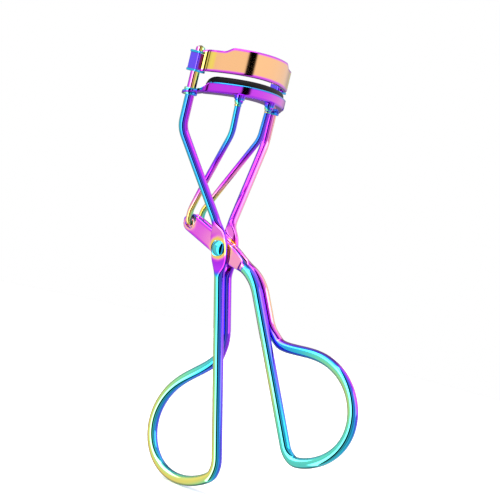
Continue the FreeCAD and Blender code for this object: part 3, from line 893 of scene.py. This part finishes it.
def make_lower_jaw():
    """Channel, ears, wings and the two cups for the push wire's ball ends."""
    cups = []
    for side in ("left", "right"):
        bead = middle("swivel_bead_" + side)
        bead.z = SWIVEL.z
        top = height_at(bead.x, LOWER_BASE_Z) + 0.5 * SHEET_T - bead.z
        hollow = [(1.1 * MM * math.cos(a), 1.1 * MM * math.sin(a))
                  for a in (math.radians(v) for v in range(15, 90, 10))]
        profile = [(1.18 * MM, 0.26 * MM), (1.27 * MM, 0.34 * MM), (1.24 * MM, 0.75 * MM),
                   (1.42 * MM, top), (0.02 * MM, top), (0.02 * MM, 1.1 * MM)] + hollow[::-1]
        cups.append(lathe("cup", profile, bead, "Z", PLATED_CHANNEL, 40, hollow=True))
    jaw = joined([make_channel(), make_ear(-1), make_ear(1), make_wing(-1), make_wing(1)] + cups,
                 "lower_jaw_channel")
    rim = LOWER_WALL_H - 0.28 * MM

    def film(p, normal):
        rise = p.z - height_at(p.x, LOWER_BASE_Z)
        if rise < -0.12 * MM:
            return mix(CUP_FILM_LOW, CUP_FILM_HIGH, ease(-1.6 * MM, -0.2 * MM, rise)), 0.3
        # painted highlight on the top rims, painted shade along the foot
        if rise > rim:
            return CHANNEL_RIM_HIGHLIGHT_FILM, 0.9
        if rise < 0.35 * MM:
            return CHANNEL_FOOT_SHADE_FILM, 0.8
        body = mix(CHANNEL_FILM_LEFT, CHANNEL_FILM_RIGHT, ease(-6 * MM, 12 * MM, p.y))
        return mix(body, EAR_FILM, ease(15.6 * MM, 16.2 * MM, abs(p.y))), 1.0

    set_film(jaw, film)
    return jaw


def make_lash_pad():
    """Rubber pad: square in the channel, its top crowned and its ends rounded off."""
    rings = []
    half = ARC_HALF_WIDTH
    round_end = 2.0 * MM
    for turn in arc_turns(half, 110):
        edge = half - abs(JAW_R * math.sin(turn))
        t = 1 - min(1.0, edge / round_end)
        top = PAD_H - 1.3 * MM * (1 - math.sqrt(max(0.0, 1 - t * t)))
        shoulder = min(0.85 * MM, 0.45 * PAD_W)
        low = SHEET_T + 0.02 * MM
        section = rounded_outline([(PAD_IN, low, 0.08 * MM), (PAD_IN + PAD_W, low, 0.08 * MM),
                                   (PAD_IN + PAD_W, top, shoulder), (PAD_IN, top, shoulder)])
        rings.append(arc_ring(turn, section, LOWER_BASE_Z))
    return ring_mesh("lash_pad_strip", rings, RUBBER, sharp=45)


def band_plan():
    """The upper jaw's middle line in plan, with the direction that faces outwards."""
    inset = UPPER_INSET + SHEET_T / 2
    radius = JAW_R - inset
    root = 13.9 * MM
    end = Vector((POST_X + 1.3 * MM, POST_Y))
    half = []
    end_turn = math.asin(root / radius)
    count = 60
    for i in range(count):
        turn = end_turn * i / (count - 1)
        half.append(Vector((ARC_CENTRE_X + radius * math.cos(turn), radius * math.sin(turn))))
    start = half[-1]
    heading = Vector((-math.sin(end_turn), math.cos(end_turn)))
    knee = start + heading * 1.5 * MM
    bend = end + Vector((1.5 * MM, 0.1 * MM))
    for i in range(1, 21):
        t = i / 20
        half.append(start * (1 - t) ** 3 + knee * 3 * t * (1 - t) ** 2
                    + bend * 3 * t * t * (1 - t) + end * t ** 3)
    line = [Vector((p.x, -p.y)) for p in reversed(half[1:])] + half
    plan = []
    for i, p in enumerate(line):
        before, after = line[max(0, i - 1)], line[min(len(line) - 1, i + 1)]
        along = (after - before).normalized()
        plan.append((p, Vector((along.y, -along.x))))
    return plan


def band_height(y):
    """The upper jaw's height, which steps up in the middle."""
    return UPPER_H + UPPER_STEP_H * (1 - ease(STEP_HALF_WIDTH, STEP_HALF_WIDTH + STEP_RAMP, abs(y)))


def make_upper_jaw():
    """Rolled band: taller in the middle, with rims pressed round."""
    rings = []
    rim = 0.3 * MM
    half = SHEET_T / 2
    for p, outwards in band_plan():
        top = band_height(p.y)
        section = rounded_outline([(half, 0, rim), (half, top, rim),
                                   (-half, top, rim), (-half, 0, rim)], 12)
        rings.append([standing(p + outwards * reach, UPPER_BASE_Z, rise) for reach, rise in section])
    band = ring_mesh("upper_jaw_band", rings, PLATED_BAND, sharp=60)

    def film(p, normal):
        rise = p.z - height_at(p.x, UPPER_BASE_Z)
        edge = min(rise, band_height(p.y) - rise)
        # the rims carry painted reflection
        if edge < 0.31 * MM:
            return BAND_RIM_REFLECTION_FILM, 1.0
        return mix(BAND_FILM, BAND_END_FILM, ease(14.0 * MM, 14.9 * MM, abs(p.y))), 1.0

    set_film(band, film)
    return band


def make_post_clip(word):
    """Folded sheet clip: rounded uprights, a lip top and bottom, and the fold's seam behind."""
    low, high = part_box("post_clip_" + word)
    centre = (low + high) / 2
    half_x, half_y = (high.x - low.x) / 2, (high.y - low.y) / 2
    tall = high.z - low.z
    lip = 0.13 * MM
    foot = [(0.0, 2.2), (0.06 * MM, 1.0), (0.50 * MM, 1.0), (0.62 * MM, 2.0)]
    levels = foot + [(tall - rise, depth) for rise, depth in reversed(foot)]
    rings = []
    for rise, depth in levels:
        cut = (depth - 1) * lip
        x, y, r = half_x - cut, half_y - cut, 0.5 * MM
        groove, edge_r = 0.22 * MM, 0.04 * MM
        deep = -x + 0.35 * MM
        corners = [(x, -y, r), (x, y, r), (-x, y, r), (-x, groove, edge_r), (deep, groove / 2, edge_r),
                   (deep, -groove / 2, edge_r), (-x, -groove, edge_r), (-x, -y, r)]
        rings.append([Vector((centre.x + a, centre.y + b, low.z + rise))
                      for a, b in rounded_outline(corners)])
    clip = ring_mesh("post_clip_" + word + "_fold", rings, PLATED_CLIP, sharp=30)

    def film(p, normal):
        edge = min(p.z - low.z, high.z - p.z)
        if edge < 0.55 * MM:
            return CLIP_LIP_FILM, 0.9
        if abs(normal.y) > 0.7:
            return CLIP_SIDE_FILM, 0.85
        return CLIP_FACE_FILM + 0.2 * (p.y - centre.y) / half_y, 0.85

    set_film(clip, film)
    return clip


def make_guide_eyelet(word):
    """Rolled eyelet: a flange above and below the ear."""
    low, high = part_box("guide_eyelet_" + word)
    centre = (low + high) / 2
    tall = (high.z - low.z) / 2
    bore = 1.16 * MM
    neck = EYELET_R - 0.35 * MM
    lip = tall - 0.62 * MM
    flange = rounded_outline([(bore, -tall, 0.2 * MM), (EYELET_R, -tall, 0.3 * MM),
                              (EYELET_R, -lip, 0.22 * MM), (neck, -0.12 * MM, 0.05 * MM),
                              (neck, 0.12 * MM, 0.05 * MM), (EYELET_R, lip, 0.22 * MM),
                              (EYELET_R, tall, 0.3 * MM), (bore, tall, 0.2 * MM)])
    ring = lathe("guide_eyelet_" + word + "_ring", [tuple(p) for p in flange], centre, "Z", PLATED_COLLAR,
                 48, hollow=True, sharp=50)
    set_film(ring, lambda p, normal: (EYELET_FILM, 0.55))
    return ring


def make_rivet():
    """Rivet with two domed heads, each with a fine turned shoulder."""
    low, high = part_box("pivot_rivet")
    half = (high.y - low.y) / 2
    head = 0.9 * MM
    head_r = 1.9 * MM
    dome_r = (head_r ** 2 + head ** 2) / (2 * head)
    profile = []
    for i in range(15):
        radius = 0.93 * head_r * i / 14
        profile.append((max(radius, 0.01 * MM), -half + dome_r - math.sqrt(dome_r ** 2 - radius ** 2)))
    profile += [(head_r, -half + head - 0.24 * MM), (head_r, -half + head - 0.02 * MM),
                (1.0 * MM, -half + head - 0.02 * MM)]
    profile += [(radius, -along) for radius, along in reversed(profile)]
    rivet = lathe("rivet_with_domed_heads", profile, PIVOT.copy(), "Y", PLATED_RIVET, 64, sharp=35)
    set_film(rivet, lambda p, normal: (RIVET_FILM, 0.0))
    return rivet


def make_spacer():
    """Washer that keeps the lever's two straps apart."""
    low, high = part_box("pivot_spacer")
    half = (high.y - low.y) / 2
    profile = rounded_outline([(1.05 * MM, -half, 0.08 * MM), (1.7 * MM, -half, 0.12 * MM),
                               (1.7 * MM, half, 0.12 * MM), (1.05 * MM, half, 0.08 * MM)])
    washer = lathe("pivot_washer", [tuple(p) for p in profile], PIVOT.copy(), "Y", PLATED_COLLAR, 48,
                   hollow=True)
    set_film(washer, lambda p, normal: (SPACER_FILM, 0.0))
    return washer


def make_bead(word):
    """Ball end of the push wire, with a small collar where the wire enters."""
    bead = middle("swivel_bead_" + word)
    bead.z = SWIVEL.z
    profile = [(0.01 * MM, BEAD_R)]
    for degrees in range(80, -55, -10):
        angle = math.radians(degrees)
        profile.append((BEAD_R * math.cos(angle), BEAD_R * math.sin(angle)))
    profile += [(0.86 * MM, -0.95 * MM), (0.86 * MM, -1.2 * MM), (0.70 * MM, -1.3 * MM)]
    ball = lathe("swivel_ball_" + word, profile, bead, "Z", PLATED_COLLAR, 40, sharp=40)

    def film(p, normal):
        return mix(BEAD_FILM_LOW, BEAD_FILM_HIGH, ease(-1.3 * MM, 0.8 * MM, p.z - bead.z)), 0.4

    set_film(ball, film)
    return ball


# ---------------------------------------------------------------------------------- studio
# how bright the room is, by direction round the tool: share of a turn, level
STUDIO_WALLS = (
    (0.0, 0.4), (0.03, 0.9), (0.08, 1.15), (0.185, 1.2), (0.200, 5.0), (0.245, 5.0), (0.262, 1.0),
    (0.278, 0.6), (0.286, 0.0), (0.345, 0.0), (0.355, 0.8), (0.400, 0.9), (0.410, 0.12), (0.430, 0.12),
    (0.440, 0.95), (0.50, 1.15), (0.573, 1.15), (0.578, 0.0), (0.601, 0.0), (0.607, 1.25), (0.70, 1.15),
    (0.76, 1.0), (0.82, 0.30), (0.89, 0.30), (0.93, 0.75), (1.0, 0.4))
FLOOR_R = 320 * MM       # wide enough to stand on, too small to fill the reflections
FLOOR_GAP = 0.05 * MM    # under the lowest point of the tool
FLOOR_SIDES = 96


def make_studio():
    """White all round, with the dark gap of the room that polished steel reflects as a line."""
    world = bpy.data.worlds.new("studio")
    bpy.context.scene.world = world
    world.use_nodes = True
    tree = world.node_tree
    tree.nodes.clear()
    place = add(tree, "ShaderNodeTexCoord")
    apart = add(tree, "ShaderNodeSeparateXYZ", {0: place.outputs["Generated"]})
    turn = add(tree, "ShaderNodeMath", {0: apart.outputs["Y"], 1: apart.outputs["X"]}, operation="ARCTAN2")
    share = add(tree, "ShaderNodeMath", {0: turn.outputs[0], 1: 1 / (2 * math.pi), 2: 0.5},
                operation="MULTIPLY_ADD")
    walls = add(tree, "ShaderNodeValToRGB", {"Fac": share.outputs[0]})
    ramp = walls.color_ramp
    stops = STUDIO_WALLS
    ramp.elements[0].position, ramp.elements[0].color = stops[0][0], [stops[0][1]] * 3 + [1]
    ramp.elements[1].position, ramp.elements[1].color = stops[-1][0], [stops[-1][1]] * 3 + [1]
    for position, level in stops[1:-1]:
        ramp.elements.new(position).color = [level] * 3 + [1]
    height = add(tree, "ShaderNodeMapRange", {"Value": apart.outputs["Z"], "From Min": -0.3,
                                              "From Max": 0.9, "To Min": 0.8, "To Max": 1.1})
    lit = add(tree, "ShaderNodeVectorMath", {0: walls.outputs["Color"], "Scale": height.outputs["Result"]},
              operation="SCALE")
    room = add(tree, "ShaderNodeBackground", {"Color": lit.outputs["Vector"], "Strength": 1.0})
    plain = add(tree, "ShaderNodeBackground", {"Color": (1, 1, 1, 1), "Strength": 1.0})
    seen = add(tree, "ShaderNodeLightPath")
    either = add(tree, "ShaderNodeMixShader", {0: seen.outputs["Is Camera Ray"], 1: room.outputs[0],
                                               2: plain.outputs[0]})
    add(tree, "ShaderNodeOutputWorld", {"Surface": either.outputs[0]})


def make_floor():
    """Plain pale sweep that the tool stands over."""
    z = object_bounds()[0].z - FLOOR_GAP
    turns = [2 * math.pi * i / FLOOR_SIDES for i in range(FLOOR_SIDES)]
    rim = [(FLOOR_R * math.cos(turn), FLOOR_R * math.sin(turn), z) for turn in turns]
    mesh = bpy.data.meshes.new("floor")
    mesh.from_pydata(rim, [], [tuple(range(FLOOR_SIDES))])
    floor = new_object("floor", mesh)
    material = bpy.data.materials.new("matt_white_sweep")
    material.use_nodes = True
    shader = material.node_tree.nodes["Principled BSDF"]
    shader.inputs["Base Color"].default_value = linear("#f4f4f4")
    shader.inputs["Roughness"].default_value = 0.9
    shader.inputs["Specular IOR Level"].default_value = 0.1
    shader.inputs["Emission Color"].default_value = linear("#ffffff")
    shader.inputs["Emission Strength"].default_value = 0.2
    mesh.materials.append(material)
    floor.visible_glossy = False     # the tool's mirror surfaces show the room, not the floor


def make_light(name, azimuth, height, distance, width, power):
    """A soft box aimed at the pivot."""
    data = bpy.data.lights.new(name, "AREA")
    data.shape = "SQUARE"
    data.size = width
    data.energy = power
    light = new_object(name, data)
    a, h = math.radians(azimuth), math.radians(height)
    away = Vector((math.sin(a) * math.cos(h), -math.cos(a) * math.cos(h), math.sin(h)))
    light.location = PIVOT + away * distance
    light.rotation_euler = away.to_track_quat("Z", "Y").to_euler()


# --------------------------------------------------------------------------- put it together
def wear(piece, body, slot, *nodes):
    """A finished piece takes its body and the CAD nodes it stands for; slot is not used."""
    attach(piece, body)
    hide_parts(*nodes)


wear(make_guide_frame(), "frame", "rainbow_wire", "guide_frame")
wear(make_squeeze_lever(), "lever", "rainbow_wire", "squeeze_lever")
wear(make_push_wire(), "link", "rainbow_wire", "push_wire")
wear(make_rivet(), "frame", "rainbow_rivet", "pivot_rivet")
wear(make_spacer(), "lever", "rainbow_rivet", "pivot_spacer")
wear(make_upper_jaw(), "frame", "gold_jaw", "upper_jaw")
wear(make_lower_jaw(), "jaw", "violet_jaw", "lower_jaw")
wear(make_lash_pad(), "jaw", "black_rubber", "lash_pad")
for word in ("left", "right"):
    wear(make_post_clip(word), "frame", "violet_clip", "post_clip_" + word)
    wear(make_guide_eyelet(word), "jaw", "rainbow_rivet", "guide_eyelet_" + word)
    wear(make_bead(word), "link", "rainbow_rivet", "swivel_bead_" + word)

make_camera()
make_studio()
make_floor()
make_light("key_softbox", -35, 40, 0.7, 0.5, 3.0)
make_light("fill_softbox", 110, 30, 0.8, 0.5, 2.0)
bpy.context.scene.view_settings.view_transform = "Standard"
